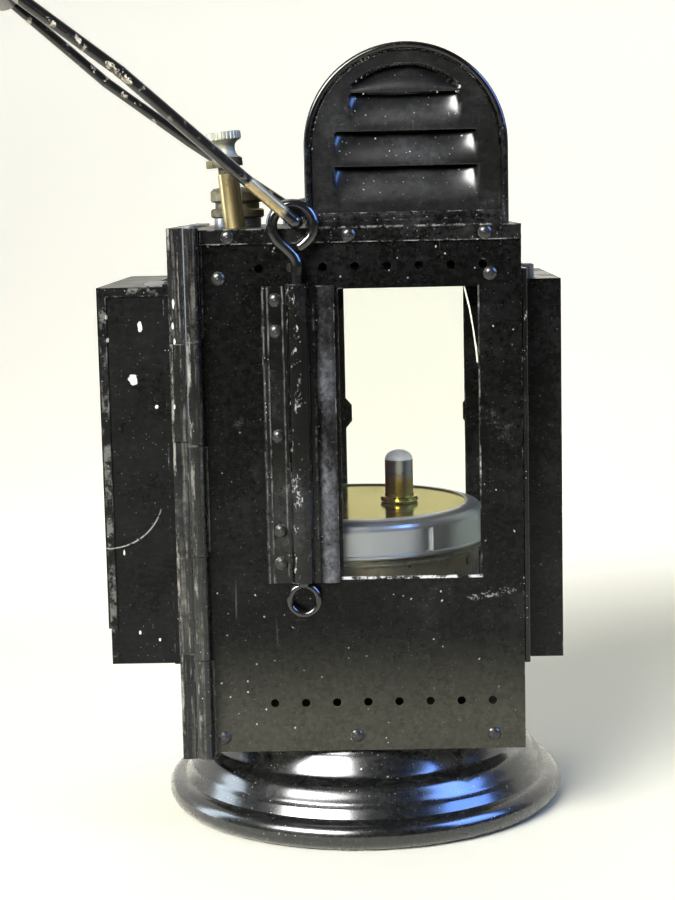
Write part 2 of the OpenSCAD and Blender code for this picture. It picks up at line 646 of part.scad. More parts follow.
module drip_cup() color(brass)
    at_gen() translate([cup_x, valve_y, lid_top]) difference() {
        cylinder(r = 4, h = 5, $fn = 32);
        translate([0, 0, -1]) cylinder(r = 3.2, h = 8, $fn = 32);
    }
module carbide_cup() color(worn)
    at_gen() translate([0, 0, body_z0 + sheet + 1]) difference() {
        cylinder(r = 32, h = 48, $fn = 64);
        translate([0, 0, 0.8]) cylinder(r = 31.2, h = 50, $fn = 64);
        for (i = [0 : 5], z = [14, 30]) rotate([0, 0, 60 * i]) translate([20, 0, z]) rotate([0, 90, 0])
            cylinder(r = 2, h = 20, $fn = 24);
    }
module burner_base() color(brass)
    translate([burner_x, 0, lid_top]) difference() {
        union() {
            rotate_extrude($fn = 48)
                polygon(concat([[0, 0]], [for (a = [-90 : 30 : 90]) [5.5 + 1.1 * cos(a), 1.1 + 1.1 * sin(a)]],
                    [[0, 2.2]]));
            cylinder(r = 5.1, h = 3.2, $fn = 48);
            cylinder(r = 3.6, h = 6.5, $fn = 48);
            translate([0, 0, -6]) cylinder(r = 2.35, h = 7, $fn = 32);
        }
        translate([0, 0, -7]) cylinder(r = 1.2, h = 20, $fn = 32);
    }
module burner_body() color(nickel)
    translate([burner_x, 0, lid_top]) difference() {
        translate([0, 0, 3.2]) cylinder(r = burner_r, h = 11.8, $fn = 48);
        translate([0, 0, 3]) cylinder(r = 3.62, h = 3.52, $fn = 48);
        cylinder(r = 1.2, h = 20, $fn = 32);
    }
module burner_tip() color([0.72, 0.72, 0.68])
    translate([burner_x, 0, lid_top + 15]) rotate_extrude($fn = 48)
        polygon(concat([[0.6, 0]], [for (a = [0 : 15 : 75]) [burner_r * cos(a), 3.4 * sin(a)]],
            [[0.6, 3.35]]));

foot();
foot_plate();
body_shell();
bottom_plate();
roof_plate();
strap_near();
strap_far();
rivets();
hood_vault();
hood_rims();
louvre_near();
louvre_far();
hood_apron();
pane_near();
pane_far();
pane_tabs();
sheath_near();
sheath_far();
hinge_body();
hinge_pin();
rear_box();
rear_flange();
rear_guides();
rear_glass();
filler_neck();
filler_washer();
filler_cap();
water_tank();
valve_tube();
valve_collar();
valve_stem();
valve_knob();
drip_tube();
generator_pot();
generator_ring();
generator_lid();
lid_disc();
drip_cup();
carbide_cup();
burner_base();
burner_body();
burner_tip();
door_pan();
door_leaves();
front_box();
front_bezel();
front_seams();
front_guides();
front_glass();
door_pull();
front_slide();
front_filter();
rear_slide();
rear_filter();
rod_near();
rod_far();
bail_wire();
grip();
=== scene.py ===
import json
import math

import bmesh
import bpy
from mathutils import Matrix, Vector


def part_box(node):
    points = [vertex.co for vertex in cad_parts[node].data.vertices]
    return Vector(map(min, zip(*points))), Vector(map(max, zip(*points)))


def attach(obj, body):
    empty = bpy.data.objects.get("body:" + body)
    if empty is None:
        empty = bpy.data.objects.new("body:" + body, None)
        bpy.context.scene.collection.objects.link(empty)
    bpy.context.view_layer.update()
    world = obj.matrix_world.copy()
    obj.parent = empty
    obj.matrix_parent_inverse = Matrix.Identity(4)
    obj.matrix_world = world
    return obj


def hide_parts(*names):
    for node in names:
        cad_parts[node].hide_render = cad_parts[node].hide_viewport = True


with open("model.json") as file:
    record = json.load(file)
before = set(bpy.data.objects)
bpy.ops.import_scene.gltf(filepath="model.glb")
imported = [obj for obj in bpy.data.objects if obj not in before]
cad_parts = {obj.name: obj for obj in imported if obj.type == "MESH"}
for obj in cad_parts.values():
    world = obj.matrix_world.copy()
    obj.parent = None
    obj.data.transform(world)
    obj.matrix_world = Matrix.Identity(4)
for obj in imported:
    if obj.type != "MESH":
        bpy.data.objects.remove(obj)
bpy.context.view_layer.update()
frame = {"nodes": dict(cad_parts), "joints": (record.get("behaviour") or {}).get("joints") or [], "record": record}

MM = 0.001
NODES = frame["nodes"]
BODY_OF = {n: b for b, ns in frame["record"]["behaviour"]["bodies"].items() for n in ns}
SLOT_OF = {s["node"]: s["material_slot"] for s in frame["record"]["subparts"]}
PANE_LAP = 3 * MM  # how far a pane reaches behind the window's edge
BAIL_PIVOT = Vector(next(j for j in frame["joints"] if j["name"] == "bail_swing")["pos_m"])


# ---------------------------------------------------------------- node helper
class Mat:
    """Builds one procedural material. Values are sockets or plain numbers."""

    def __init__(self, name):
        self.m = bpy.data.materials.new(name)
        self.m.use_nodes = True
        self.t = self.m.node_tree
        self.t.nodes.clear()
        self.out = self.t.nodes.new("ShaderNodeOutputMaterial")
        self.co = self.t.nodes.new("ShaderNodeTexCoord").outputs["Object"]
        self.geo = self.t.nodes.new("ShaderNodeNewGeometry")

    def put(self, socket, value):
        if isinstance(value, bpy.types.NodeSocket):
            self.t.links.new(value, socket)
        elif isinstance(value, (tuple, list)) and len(value) == 3 and socket.type == "RGBA":
            socket.default_value = (*value, 1)
        else:
            socket.default_value = value

    def node(self, kind, out=0, props=None, **ins):
        """Adds a node and returns one output; i0, i1 and so on are inputs by number."""
        n = self.t.nodes.new(kind)
        for k, v in (props or {}).items():
            setattr(n, k, v)
        for k, v in ins.items():
            numbered = k[0] == "i" and k[1:].isdigit()
            self.put(n.inputs[int(k[1:]) if numbered else k], v)
        return n.outputs[out]

    def math(self, op, a, b=0.0, clamp=False):
        return self.node("ShaderNodeMath", props={"operation": op, "use_clamp": clamp}, i0=a, i1=b)

    def times(self, a, b, clamp=False):
        return self.math("MULTIPLY", a, b, clamp)

    def plus(self, a, b, clamp=False):
        return self.math("ADD", a, b, clamp)

    def minus(self, a, b, clamp=False):
        return self.math("SUBTRACT", a, b, clamp)

    def most(self, a, b, clamp=False):
        return self.math("MAXIMUM", a, b, clamp)

    def absolute(self, a):
        return self.math("ABSOLUTE", a)

    def noise(self, scale, detail=4.0, rough=0.55, vec=None, seed=0.0, distort=0.0):
        return self.node("ShaderNodeTexNoise", props={"noise_dimensions": "4D"}, Vector=vec or self.co,
                         W=seed, Scale=scale, Detail=detail, Roughness=rough, Distortion=distort)

    def cells(self, scale, vec, out=0):
        return self.node("ShaderNodeTexVoronoi", out=out, Vector=vec, Scale=scale, Randomness=1.0)

    def stretch(self, x, y, z, rot=(0, 0, 0)):
        return self.node("ShaderNodeMapping", Vector=self.co, Scale=(x, y, z), Rotation=rot)

    def step(self, v, lo, hi):
        """0 below lo, 1 above hi, smooth between; lo above hi turns it round."""
        return self.node("ShaderNodeMapRange", props={"interpolation_type": "SMOOTHSTEP"},
                         Value=v, i1=lo, i2=hi)

    def span(self, v, a, b, lo=0.0, hi=1.0):
        """a where v is lo, b where v is hi, straight between."""
        return self.node("ShaderNodeMapRange", Value=v, i1=lo, i2=hi, i3=a, i4=b)

    def mix(self, f, a, b):
        n = self.t.nodes.new("ShaderNodeMix")
        n.data_type = "RGBA"
        self.put(n.inputs[0], f)
        self.put(n.inputs[6], a)
        self.put(n.inputs[7], b)
        return n.outputs[2]

    def blend(self, f, a, b):
        n = self.t.nodes.new("ShaderNodeMix")
        self.put(n.inputs[0], f)
        self.put(n.inputs[2], a)
        self.put(n.inputs[3], b)
        return n.outputs[0]

    def axis(self, i):
        return self.node("ShaderNodeSeparateXYZ", out=i, Vector=self.co)

    def edge(self, radius, lo=0.02, hi=0.25):
        """1 along sharp edges: how far a rounded normal leaves the true one."""
        b = self.node("ShaderNodeBevel", props={"samples": 4}, Radius=radius)
        d = self.node("ShaderNodeVectorMath", out=1, props={"operation": "DOT_PRODUCT"}, i0=b,
                      i1=self.geo.outputs["Normal"])
        return self.step(self.minus(1.0, d), lo, hi)

    def spot(self, x, z, rx, rz, ragged=0.6):
        """1 inside a ragged oval on an upright face, centred at x, z and sized rx by rz."""
        dx = self.math("DIVIDE", self.minus(self.axis(0), x), rx)
        dz = self.math("DIVIDE", self.minus(self.axis(2), z), rz)
        d = self.plus(self.times(dx, dx), self.times(dz, dz))
        torn = self.noise(700, 4, 0.7, seed=x * 97)
        torn = self.times(self.minus(torn, 0.5), 4 * ragged)
        return self.step(self.plus(d, torn), 1.1, 0.7)

    def points(self, scale, size, keep):
        """Irregular specks: one in each kept cell of a jittered grid; size is a part of the cell."""
        shake = self.node("ShaderNodeVectorMath", props={"operation": "MULTIPLY_ADD"},
                          i0=self.node("ShaderNodeTexNoise", out=1, Vector=self.co, Scale=scale * 2.5),
                          i1=(0.3 / scale,) * 3, i2=self.co)
        near = self.cells(scale, shake)
        tint = self.cells(scale, shake, out=1)
        pick = self.node("ShaderNodeSeparateColor", out=0, Color=tint)
        bright = self.node("ShaderNodeSeparateColor", out=1, Color=tint)
        kept = self.step(pick, 1 - keep, 1.01 - keep)
        dot = self.times(self.step(near, size, size * 0.5), kept)
        return self.times(dot, self.times(bright, bright))

    def bump(self, height, strength, dist, base=None):
        n = self.t.nodes.new("ShaderNodeBump")
        n.inputs["Strength"].default_value = strength
        n.inputs["Distance"].default_value = dist
        self.put(n.inputs["Height"], height)
        if base is not None:
            self.put(n.inputs["Normal"], base)
        return n.outputs[0]

    def surface(self, color, rough, metal=0.0, normal=None, coat=0.0, coat_rough=0.1, **more):
        p = self.t.nodes.new("ShaderNodeBsdfPrincipled")
        for k, v in {"Base Color": color, "Roughness": rough, "Metallic": metal, "Coat Weight": coat,
                     "Coat Roughness": coat_rough, **more}.items():
            self.put(p.inputs[k], v)
        if normal is not None:
            self.put(p.inputs["Normal"], normal)
        self.t.links.new(p.outputs[0], self.out.inputs[0])
        return self.m


# ---------------------------------------------------------------- materials
PITCH_BLACK, BLACK = (0.0008, 0.0008, 0.0009), (0.006, 0.0063, 0.006)
LOW_DUST, SCUFF_TONE = (0.062, 0.06, 0.046), (0.07, 0.073, 0.068)
SPECK_TONE, SCRATCH_TONE = (0.72, 0.73, 0.72), (0.16, 0.16, 0.155)
WHITE_CHIP, WORN_GREY, BRIGHT_RIM = (0.72, 0.72, 0.68), (0.27, 0.27, 0.25), (0.62, 0.64, 0.66)


def speck_mask(m, film, cloud, specks):
    """White specks in two sizes, thicker where film and cloud are dense."""
    tiny = m.times(m.points(950, 0.22, 0.34 * specks), m.step(film, 0.34, 0.56))
    small = m.times(m.points(330, 0.13, 0.3 * specks), m.step(cloud, 0.38, 0.56))
    return m.plus(tiny, small, clamp=True)


def scratch_mask(m, seed, wear):
    """Faint long scratches, some across and some upright, in patches."""
    across = m.noise(26, 2, 0.4, vec=m.stretch(14, 14, 0.7, (0.1, 0.22, 0)), seed=seed + 9)
    upright = m.noise(30, 2, 0.4, vec=m.stretch(0.8, 0.8, 16, (0.15, 0.5, 0.2)), seed=seed + 11)
    patch = m.step(m.noise(17, 2, seed=seed + 13), 0.5, 0.62)
    line = m.plus(m.step(across, 0.71, 0.74), m.step(upright, 0.73, 0.76), clamp=True)
    return m.times(m.times(line, patch), 0.4 * wear + 0.05)


def bare_mask(m, seed, wear, scuff):
    """Bare metal: chips along sharp edges and rubbed patches on the faces."""
    chip = m.step(m.noise(170, 6, 0.72, seed=seed + 17), 0.63 - 0.18 * wear, 0.72 - 0.16 * wear)
    edge = m.times(m.edge(0.0009), chip)
    rub = m.times(m.step(m.noise(75, 8, 0.78, seed=seed + 21), 0.58, 0.66),
                  m.step(m.noise(9, 2, seed=seed + 23), 0.55, 0.66))
    return m.most(edge, m.times(rub, scuff), clamp=True)


def enamel(name, dust=0.5, wear=0.5, gloss=0.5, scuff=0.0, specks=0.5, seed=0.0,
           edge_tone=(0.34, 0.335, 0.32), marks=None, waves=1.0, dust_tone=(0.085, 0.09, 0.088),
           satin=0.0, haze=0.0, flecks=0.1, settled=None):
    """Black japan: wavy gloss, dust film, white specks, and grey metal where edges are rubbed.
    marks(m) may add a mask and a tone for local chips and scratches; satin dulls the gloss, haze
    adds an even dust film, flecks short fine scuffs, and settled (height of full dust, height
    where it ends) dust on the lower part."""
    m = Mat(name)
    film = m.noise(42, 8, 0.68, seed=seed)
    cloud = m.noise(13, 4, 0.55, seed=seed + 3)
    grain = m.span(m.noise(620, 5, 0.7, seed=seed + 5), 0.0, 1.0, 0.35, 0.68)
    dusty = m.times(m.step(film, 0.44, 0.72), m.step(cloud, 0.38, 0.66))
    dusty = m.times(dusty, m.plus(0.15, m.times(grain, 1.25)), clamp=True)
    if haze:
        even = m.times(m.span(film, 0.4, 1.2, 0.35, 0.65), haze)
        dusty = m.most(dusty, even, clamp=True)
    base = m.mix(grain, PITCH_BLACK, BLACK)
    base = m.mix(m.times(dusty, 0.8 * dust, clamp=True), base, dust_tone)
    hair = m.noise(760, 4, 0.75, vec=m.stretch(0.3, 0.3, 1), seed=seed + 27)
    scuffs = m.times(m.step(hair, 0.46, 0.72), flecks)
    if settled is not None:
        full, none = settled
        low = m.step(m.plus(m.axis(2), m.span(film, -6 * MM, 6 * MM)), none, full)
        base = m.mix(m.times(low, m.span(grain, 0.5, 0.9)), base, LOW_DUST)
        scuffs = m.times(scuffs, m.span(low, 0.4, 1.6))
    base = m.mix(scuffs, base, SCUFF_TONE)
    white = speck_mask(m, film, cloud, specks)
    base = m.mix(white, base, SPECK_TONE)
    base = m.mix(scratch_mask(m, seed, wear), base, SCRATCH_TONE)
    bare = bare_mask(m, seed, wear, scuff)
    dark_edge = tuple(0.35 * c for c in edge_tone)
    color = m.mix(bare, base, m.mix(m.noise(320, 3, seed=seed + 25), dark_edge, edge_tone))
    if marks is not None:
        mask, paint = marks(m)
        color = m.mix(mask, color, paint)
        bare = m.most(bare, mask, clamp=True)
    glossy, dull = 0.30 - 0.2 * gloss + 0.16 * satin, 0.46 - 0.24 * gloss + 0.12 * satin
    rough = m.blend(m.step(film, 0.3, 0.75), glossy, dull)
    rough = m.plus(rough, m.times(dusty, 0.3), clamp=True)
    rough = m.plus(rough, m.span(grain, -0.04, 0.06))
    rough = m.blend(bare, rough, 0.5)
    n = m.bump(m.noise(24, 3, 0.5, seed=seed + 31), 0.4 * waves, 0.0012)
    n = m.bump(m.noise(330, 4, 0.6, seed=seed + 33), 0.3, 0.00014, n)
    n = m.bump(m.minus(m.times(white, 0.8), bare), 0.6, 0.00012, n)
    coat = m.minus(gloss ** 3, bare, clamp=True)
    return m.surface(color, rough, m.times(bare, 0.25), n, coat=coat, coat_rough=0.09 + 0.12 * satin,
                     **{"Specular IOR Level": 0.04 + 0.2 * gloss * gloss, "Coat IOR": 1.65})


def brass(name, tint=(0.52, 0.38, 0.17), dark=(0.13, 0.1, 0.06), tarnish=0.5, rough=0.3, seed=0.0):
    """Satin brass with dark tarnish, a little verdigris and brighter edges."""
    m = Mat(name)
    big = m.noise(70, 6, 0.6, seed=seed)
    small = m.noise(420, 5, 0.65, seed=seed + 2)
    t = m.times(m.step(big, 0.62 - 0.25 * tarnish, 0.8 - 0.2 * tarnish),
               m.span(small, 0.5, 1.2, 0.3, 0.7), clamp=True)
    bright = m.mix(m.edge(0.0007), tint, tuple(min(1.0, c * 1.5) for c in tint))
    color = m.mix(t, bright, dark)
    color = m.mix(m.times(m.step(small, 0.66, 0.74), 0.35), color, (0.2, 0.24, 0.17))
    r = m.plus(m.span(big, rough - 0.06, rough + 0.12, 0.3, 0.7), m.times(t, 0.2))
    lines = m.noise(60, 3, vec=m.stretch(1, 1, 30), seed=seed + 4)
    n = m.bump(m.plus(m.times(lines, 0.5), small), 0.25, 0.00012)
    return m.surface(color, r, 0.95, n)


def plate_metal(name, tint=(0.52, 0.52, 0.5), stain=(0.24, 0.22, 0.18), rough=0.22, stains=0.5,
                seed=0.0, metal=0.95, glance=(1, 1, 1), fine=1.0, heat=None):
    """Dulled nickel or tin plate with brown stains and turning lines as strong as fine.
    heat (height of full colour, height where it fades out, colour) tints the lower part."""
    m = Mat(name)
    big = m.noise(45, 7, 0.65, seed=seed)
    small = m.noise(380, 4, 0.6, seed=seed + 2)
    t = m.times(m.step(big, 0.66 - 0.2 * stains, 0.86 - 0.2 * stains),
               m.span(small, 0.6, 1.1, 0.3, 0.7), clamp=True)
    color = m.mix(t, tint, stain)
    if heat is not None:
        low, high, scorch = heat
        height = m.plus(m.axis(2), m.span(big, -1 * MM, 1 * MM))
        color = m.mix(m.step(height, high, low), color, scorch)
    color = m.mix(m.times(m.step(small, 0.68, 0.75), 0.4), color, (0.1, 0.1, 0.1))
    lines = m.noise(40, 4, vec=m.stretch(1, 1, 40), seed=seed + 4)
    turned = m.span(lines, rough - 0.05 * fine, rough + 0.1 * fine, 0.3, 0.7)
    r = m.plus(turned, m.times(t, 0.18))
    n = m.bump(lines, 0.15 * fine, 0.00008) if fine else None
    n = m.bump(m.noise(32, 3, seed=seed + 6), 0.2, 0.0006, n)
    return m.surface(color, r, metal, n, **{"Specular Tint": glance})


def worn_wire(name, seed=0.0, bare_at=None, wear=0.5):
    """Black enamel on wire, rubbed to bright steel in streaks; brassy round bare_at (point, radius)."""
    m = Mat(name)
    chips = m.noise(210, 8, 0.7, seed=seed)
    patch = m.noise(28, 3, 0.5, seed=seed + 1)
    bare = m.times(m.step(chips, 0.57, 0.61), m.step(patch, 0.54 - 0.14 * wear, 0.64 - 0.1 * wear))
    color = m.mix(m.noise(120, 4, seed=seed + 2), (0.003, 0.003, 0.0035), (0.012, 0.0115, 0.011))
    metal = m.mix(m.noise(260, 4, seed=seed + 3), (0.3, 0.27, 0.21), (0.62, 0.57, 0.46))
    if bare_at is not None:
        point, radius = bare_at
        d = m.node("ShaderNodeVectorMath", out=1, props={"operation": "DISTANCE"}, i0=m.co,
                   i1=tuple(point))
        torn = m.times(m.minus(chips, 0.5), radius * 0.9)
        near = m.step(m.plus(d, torn), radius, radius * 0.8)
        bare = m.most(bare, near)
        brassy = m.mix(m.noise(180, 4, seed=seed + 4), (0.33, 0.23, 0.1), (0.68, 0.56, 0.33))
        metal = m.mix(near, metal, brassy)
    color = m.mix(bare, color, metal)
    rough = m.blend(bare, m.span(chips, 0.1, 0.28, 0.3, 0.7), 0.33)
    n = m.bump(m.minus(m.noise(300, 4, seed=seed + 5), bare), 0.4, 0.00013)
    n = m.bump(m.noise(60, 2, seed=seed + 6), 0.25, 0.0004, n)
    coat = m.minus(0.9, bare, clamp=True)
    return m.surface(color, rough, m.times(bare, 0.9), n, coat=coat,
                     **{"Coat IOR": 1.6, "Specular IOR Level": 0.3})


def crack(m):
    """A hair crack across the near pane's upper right corner."""
    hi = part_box("pane_near")[1]
    right, top = hi.x - PANE_LAP, hi.z - PANE_LAP
    start, length, slope, curve = right - 4.4 * MM, 24 * MM, 0.26, -3.8
    down = m.minus(top, m.axis(2))
    wander = m.times(m.minus(m.noise(90, 3, seed=95), 0.5), 0.6 * MM)
    bow = m.times(m.times(down, down), curve)
    across = m.plus(m.plus(m.times(down, slope), bow), wander)
    gap = m.minus(m.minus(m.axis(0), start), across)
    line = m.step(m.absolute(gap), 0.32 * MM, 0.14 * MM)
    return m.times(line, band(m, down, 0.0, length, 1 * MM))


def glass(name, tint, clear=0.9, rough=0.02, dirt=0.4, seed=0.0, cracked=False):
    """Thin pane: mostly see-through, with a faint tint, smears and specks."""
    m = Mat(name)
    smear = m.noise(22, 6, 0.7, seed=seed)
    spot = m.times(m.points(300, 0.14, 0.2), m.step(m.noise(20, 2, seed=seed + 3), 0.5, 0.62))
    film = m.times(m.step(smear, 0.5, 0.8), 0.10 * dirt)
    film = m.plus(film, m.times(spot, 0.5 * dirt), clamp=True)
    pale = (0.5, 0.5, 0.46)
    if cracked:
        line = crack(m)
        film = m.most(film, m.times(line, 0.8))
        pale = m.mix(line, pale, (0.95, 0.95, 0.75))
    through = m.node("ShaderNodeBsdfTransparent", Color=tint)
    shine = m.node("ShaderNodeBsdfGlossy", Color=(0.9, 0.95, 1), Roughness=rough)
    dull = m.node("ShaderNodeBsdfDiffuse", Color=pale)
    wave = m.bump(m.noise(18, 2, seed=seed + 5), 0.12, 0.001)
    # a pane has two faces: only the outer one of each ray's pair mirrors
    facing = m.node("ShaderNodeFresnel", IOR=1.45, Normal=wave)
    outer = m.times(m.minus(1.0, m.geo.outputs["Backfacing"]), clear)
    a = m.node("ShaderNodeMixShader", i0=m.times(facing, outer), i1=through, i2=shine)
    b = m.node("ShaderNodeMixShader", i0=film, i1=a, i2=dull)
    m.t.links.new(b, m.out.inputs[0])
    return m.m


def ceramic(name):
    """Unglazed steatite with a faint lavender emission: a painted glow that brightens the tip, though it is no
    lamp.
    """
    m = Mat(name)
    grit = m.noise(500, 5, 0.6)
    color = m.mix(m.step(grit, 0.4, 0.7), (0.72, 0.73, 0.84), (0.9, 0.91, 0.98))
    # the emission is a painted glow: it lights the tip as if light reached it inside the lamp
    return m.surface(color, m.span(grit, 0.5, 0.7, 0.3, 0.7), 0.0, m.bump(grit, 0.3, 0.0001),
                     **{"Emission Color": (0.8, 0.82, 1.0), "Emission Strength": 0.13})


def dark_wood(name):
    """Turned grip: dark stained wood with its grain along the grip, worn paler in patches."""
    m = Mat(name)
    grain = m.noise(90, 6, 0.6, vec=m.stretch(1, 0.08, 1), distort=0.6)
    pores = m.noise(900, 3, 0.6, vec=m.stretch(1, 0.1, 1))
    color = m.mix(m.step(grain, 0.38, 0.66), (0.018, 0.012, 0.008), (0.07, 0.045, 0.028))
    worn = m.step(m.noise(60, 5, 0.7, seed=4), 0.58, 0.68)
    color = m.mix(m.times(worn, 0.6), color, (0.16, 0.115, 0.075))
    n = m.bump(m.plus(grain, m.times(pores, 0.5)), 0.35, 0.0002)
    return m.surface(color, m.span(grain, 0.3, 0.5, 0.3, 0.7), 0.0, n, coat=0.25, coat_rough=0.2)


def band(m, v, a, b, soft):
    """1 between a and b, fading over soft at each end."""
    return m.times(m.step(v, a - soft, a), m.step(v, b + soft, b))


def joined(m, masks):
    """The largest of several masks."""
    out = masks[0]
    for k in masks[1:]:
        out = m.most(out, k)
    return out


def body_marks(m):
    """A smear of small scuffs under the window's right corner, and the window's worn edges."""
    lo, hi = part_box("body_shell")
    x, z = m.axis(0), m.axis(2)
    # each: distance from the right edge, height above the bottom, half width, half height
    spots = ((16, 50.6, 2.6, 1.0), (11, 51.5, 3.0, 1.1), (5.5, 52.8, 2.8, 1.2))
    smear = joined(m, [
        m.spot(hi.x - b * MM, lo.z + u * MM, w * MM, t * MM, 1.0)
        for b, u, w, t in spots])
    smear = m.times(smear, m.step(m.noise(900, 5, 0.75, seed=71), 0.5, 0.6))
    pane_lo, pane_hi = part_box("pane_near")
    left, right = pane_lo.x + PANE_LAP, pane_hi.x - PANE_LAP
    sill, head = pane_lo.z + PANE_LAP, pane_hi.z - PANE_LAP
    below = m.times(band(m, z, sill - 0.7 * MM, sill, 0.3 * MM), band(m, x, left, right, 1 * MM))
    beside = m.times(band(m, x, right, right + 0.35 * MM, 0.2 * MM), band(m, z, sill, head, 0.5 * MM))
    beside = m.times(beside, m.span(m.noise(45, 5, 0.7, seed=74), 0.0, 0.8, 0.45, 0.62))
    rim = m.times(m.most(below, beside), m.step(m.noise(260, 6, 0.75, seed=73), 0.42, 0.54))
    return m.most(smear, rim), m.mix(rim, WORN_GREY, BRIGHT_RIM)


def arc_scratch(m, cx, cz, r):
    """The lower part of a thin broken ring scratched round a point."""
    dx = m.minus(m.axis(0), cx)
    dz = m.minus(m.axis(2), cz)
    far = m.math("SQRT", m.plus(m.times(dx, dx), m.times(dz, dz)))
    ring = m.step(m.absolute(m.minus(far, r)), 0.3 * MM, 0.12 * MM)
    ring = m.times(ring, m.step(dz, -5 * MM, -6.5 * MM))
    return m.times(ring, m.step(m.noise(420, 3, seed=55), 0.38, 0.5))


def box_marks(m):
    """Large pale chips and a curved scratch on the slide box's side, and rubbed hems."""
    lo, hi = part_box("front_box")
    # each: distance from the outer edge, depth below the top, half width, half height
    spots = ((13.1, 12.8, 0.8, 1.9), (10.2, 30, 1.5, 1.9), (17.6, 39, 0.6, 0.7), (2.2, 9.5, 0.35, 0.9),
             (2.4, 17, 0.4, 0.9), (5.2, 87, 0.3, 0.9), (9.5, 114, 0.4, 0.6), (16, 116.5, 0.35, 0.5))
    chips = joined(m, [
        m.spot(lo.x + b * MM, hi.z - d * MM, w * MM, t * MM, 0.8)
        for b, d, w, t in spots])
    scratch = arc_scratch(m, lo.x + 0.5 * MM, hi.z - 67.3 * MM, 18.2 * MM)
    side = m.step(m.absolute(m.axis(1)), hi.y - 3 * MM, hi.y - 1 * MM)
    outer = m.times(band(m, m.axis(0), lo.x, lo.x + 1.9 * MM, 0.4 * MM), side)
    hem = m.most(band(m, m.axis(2), hi.z - 3 * MM, hi.z - 0.4 * MM, 0.3 * MM), outer)
    hem = m.times(hem, m.step(m.noise(150, 7, 0.75, seed=57), 0.5, 0.6))
    return joined(m, [chips, scratch, m.times(hem, 0.55)]), m.mix(chips, WORN_GREY, WHITE_CHIP)


def sheath_marks(m):
    """The flange beside the window is rubbed to a mottled grey; chips run down the tube; pale broken lines along
    the left flange's folded edges are painted highlights.
    """
    lo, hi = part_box("sheath_near")
    x = m.axis(0)
    patch = m.step(m.noise(60, 7, 0.7, vec=m.stretch(1, 1, 0.6), seed=62), 0.36, 0.58)
    patch = m.times(patch, m.span(m.axis(2), 1.0, 0.3, lo.z + 55 * MM, hi.z))
    flange = m.times(band(m, x, hi.x - 4.2 * MM, hi.x - 1.6 * MM, 2.2 * MM), patch)
    flange = m.times(flange, m.span(m.noise(420, 5, 0.7, seed=61), 0.15, 0.95, 0.35, 0.65))
    chips = m.step(m.noise(420, 5, 0.75, vec=m.stretch(1, 1, 0.45), seed=63), 0.56, 0.62)
    tube = m.times(band(m, x, lo.x + 8.7 * MM, lo.x + 11.9 * MM, 0.7 * MM), chips)
    # painted highlights: pale broken lines along the flange's folded edges, where they would catch light
    wander = m.times(m.minus(m.noise(50, 5, 0.7, seed=65), 0.5), 0.7 * MM)
    painted_ridge_highlights = joined(m, [band(m, m.plus(x, wander), lo.x + a * MM, lo.x + (a + 0.25) * MM, 0.25 * MM)
                       for a in (0.4, 1.9, 6.6)])
    painted_ridge_highlights = m.times(painted_ridge_highlights, m.span(m.noise(140, 7, 0.8, seed=64), 0.0, 0.5, 0.42, 0.62))
    tube = m.most(tube, painted_ridge_highlights)
    return m.most(flange, tube), m.mix(tube, (0.21, 0.213, 0.235), (0.4, 0.4, 0.39))


def front_edge_marks(m):
    """The hinged edge: paint worn off in thin broken lines along the pan's folds and the barrels."""
    lo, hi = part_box("door_pan")
    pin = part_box("hinge_pin")
    middle = (pin[0].x + pin[1].x) / 2
    x = m.plus(m.axis(0), m.times(m.minus(m.noise(60, 6, 0.7, seed=91), 0.5), 1.6 * MM))
    outer = band(m, x, lo.x + 0.2 * MM, lo.x + 0.7 * MM, 0.3 * MM)
    inner = m.times(band(m, x, lo.x + 3.3 * MM, lo.x + 3.5 * MM, 0.2 * MM), 0.6)
    barrel = band(m, x, middle - 1.6 * MM, middle - 0.8 * MM, 0.35 * MM)
    barrel = m.times(barrel, m.step(m.noise(24, 4, 0.6, seed=93), 0.40, 0.56))
    torn = m.step(m.noise(260, 7, 0.78, vec=m.stretch(1, 1, 0.3), seed=92), 0.47, 0.58)
    line = m.times(m.most(m.most(outer, inner), barrel), torn)
    streak = m.step(m.noise(560, 4, 0.7, vec=m.stretch(1, 1, 0.03), seed=94), 0.52, 0.64)
    streak = m.times(streak, m.span(m.noise(190, 6, 0.75, seed=96), 0.0, 0.55, 0.4, 0.65))
    side = m.step(m.absolute(m.axis(1)), hi.y - 7 * MM, hi.y - 2 * MM)
    line = m.times(m.most(line, streak), side)
    # each: distance from the outer fold, depth below the top, half width, half height
    spots = ((1.6, 24, 0.4, 1.6), (1.2, 31, 0.35, 1.2), (1.6, 36, 0.4, 1.0), (1.0, 57, 0.3, 0.7))
    chips = joined(m, [
        m.spot(lo.x + b * MM, hi.z - d * MM, w * MM, t * MM, 0.6)
        for b, d, w, t in spots])
    beige = m.mix(m.noise(380, 4, seed=83), (0.2, 0.195, 0.175), (0.55, 0.53, 0.46))
    return m.most(m.times(line, 0.85), chips), m.mix(chips, beige, WHITE_CHIP)


def flange_marks(m):
    """White chips down the rear flange's rib."""
    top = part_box("rear_flange")[1].z
    high = band(m, m.axis(2), top - 31 * MM, top - 14 * MM, 1 * MM)
    chips = m.step(m.noise(330, 6, 0.75, vec=m.stretch(1, 1, 0.3), seed=85), 0.55, 0.6)
    return m.times(m.times(high, chips), 0.9), WHITE_CHIP


